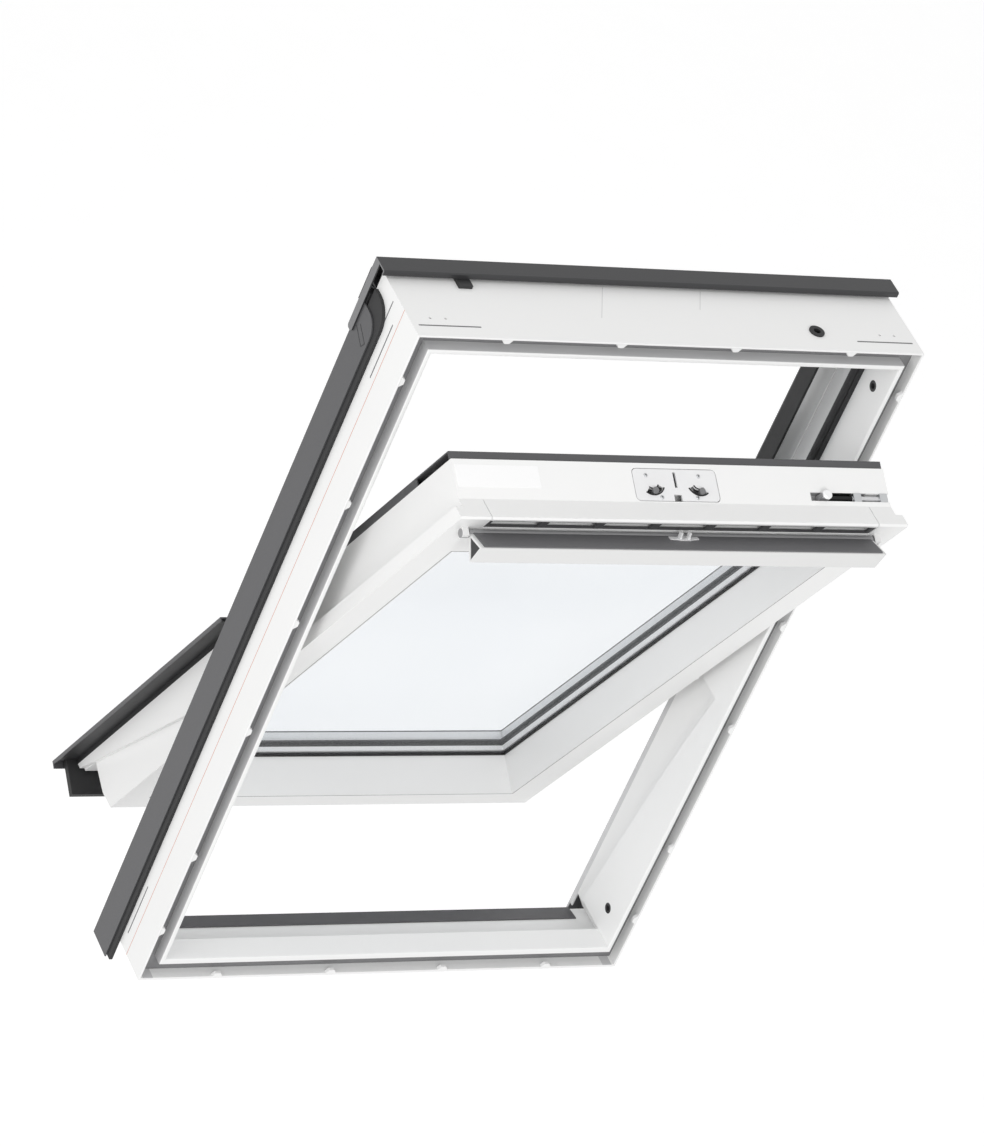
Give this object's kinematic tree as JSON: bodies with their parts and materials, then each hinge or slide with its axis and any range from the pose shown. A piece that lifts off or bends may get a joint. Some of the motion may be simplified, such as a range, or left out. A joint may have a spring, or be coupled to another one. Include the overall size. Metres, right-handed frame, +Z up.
{
  "type": "centre-pivot roof window",
  "caption": "White roof window with a fixed frame and a glazed sash that turns about its middle, with vent flap and control bar, lock, barrel bolt, seals and grey covers.",
  "frame": {"origin": "middle of the sill's flat underside, half way through the frame's depth", "axes": "+X across to the right as seen from the room, +Y from the room to the open air, +Z up the frame"},
  "size_m": [0.7986, 0.637, 1.232],
  "materials": {
    "white_shell": "smooth white moulded shell, satin",
    "white_bar": "white lacquer, satin",
    "grey_cover": "grey lacquered sheet, satin",
    "black_rubber": "black, dull",
    "black_plastic": "black, dull",
    "dark_plastic": "dark grey, fine grain",
    "filter_foam": "grey open foam",
    "zinc_steel": "zinc plated, satin",
    "lock_zinc": "zinc casting, grey",
    "pane_glass": "clear, polished",
    "spacer_metal": "dark anodised"
  },
  "bodies": {
    "frame": {"frame_top_rail": "white_shell", "frame_sill": "white_shell", "frame_left_stile": "white_shell", "frame_right_stile": "white_shell", "left_pivot_plate": "zinc_steel", "right_pivot_plate": "zinc_steel", "bolt_bushes": "black_plastic", "lock_striker": "zinc_steel", "cable_grommet": "black_rubber", "left_inner_gasket": "black_rubber", "right_inner_gasket": "black_rubber", "sill_cover": "grey_cover", "left_side_gasket": "black_rubber", "right_side_gasket": "black_rubber", "left_side_cover": "grey_cover", "right_side_cover": "grey_cover", "left_raised_cover": "grey_cover", "right_raised_cover": "grey_cover", "left_upper_lining": "white_shell", "right_upper_lining": "white_shell", "left_outer_gasket": "black_rubber", "right_outer_gasket": "black_rubber", "top_casing": "grey_cover", "top_outer_gasket": "black_rubber", "casing_clip": "black_plastic"},
    "sash": {"sash_top_rail": "white_shell", "sash_bottom_rail": "white_shell", "sash_left_stile": "white_shell", "sash_right_stile": "white_shell", "vent_strip": "white_shell", "left_flap_bracket": "white_bar", "right_flap_bracket": "white_bar", "sash_left_cover": "grey_cover", "sash_right_cover": "grey_cover", "sash_top_cover": "grey_cover", "sash_bottom_cover": "grey_cover", "inner_glazing_gasket": "black_rubber", "outer_glazing_gasket": "black_rubber", "bottom_skirt": "black_rubber", "left_carrier": "black_plastic", "right_carrier": "black_plastic", "vent_grille": "dark_plastic", "vent_filter": "filter_foam", "left_hinge_plate": "zinc_steel", "right_hinge_plate": "zinc_steel", "bolt_guides": "zinc_steel", "lock_case": "lock_zinc", "inner_pane": "pane_glass", "outer_pane": "pane_glass", "pane_spacer": "spacer_metal"},
    "control_bar": {"control_bar": "white_bar", "bar_liner": "dark_plastic", "lock_link": "zinc_steel"},
    "left_claw": {"left_claw": "zinc_steel"},
    "right_claw": {"right_claw": "zinc_steel"},
    "barrel_bolt": {"barrel_bolt": "zinc_steel"}
  },
  "joints": [
    {"name": "sash_pivot", "type": "hinge", "parent": "frame", "child": "sash", "pos_m": [0, 0.0625, 0.589], "axis": [1, 0, 0], "range_deg": [-26, 138.5]},
    {"name": "bar_hinge", "type": "hinge", "parent": "sash", "child": "control_bar", "pos_m": [0, -0.24343, 0.99498], "axis": [1, 0, 0], "range_deg": [-52, 23]},
    {"name": "left_claw_turn", "type": "hinge", "parent": "sash", "child": "left_claw", "pos_m": [-0.036, -0.18854, 1.04211], "axis": [0, -0.4384, 0.8988], "range_deg": [-24, 48]},
    {"name": "right_claw_turn", "type": "hinge", "parent": "sash", "child": "right_claw", "pos_m": [0.036, -0.18854, 1.04211], "axis": [0, -0.4384, 0.8988], "range_deg": [-48, 24]},
    {"name": "bolt_slide", "type": "slide", "parent": "sash", "child": "barrel_bolt", "axis": [1, 0, 0], "range_m": [0, 0.035]}
  ],
  "couplings": [
    {"joint": "left_claw_turn", "follows": "bar_hinge", "ratio": -0.9},
    {"joint": "right_claw_turn", "follows": "bar_hinge", "ratio": 0.9}
  ]
}
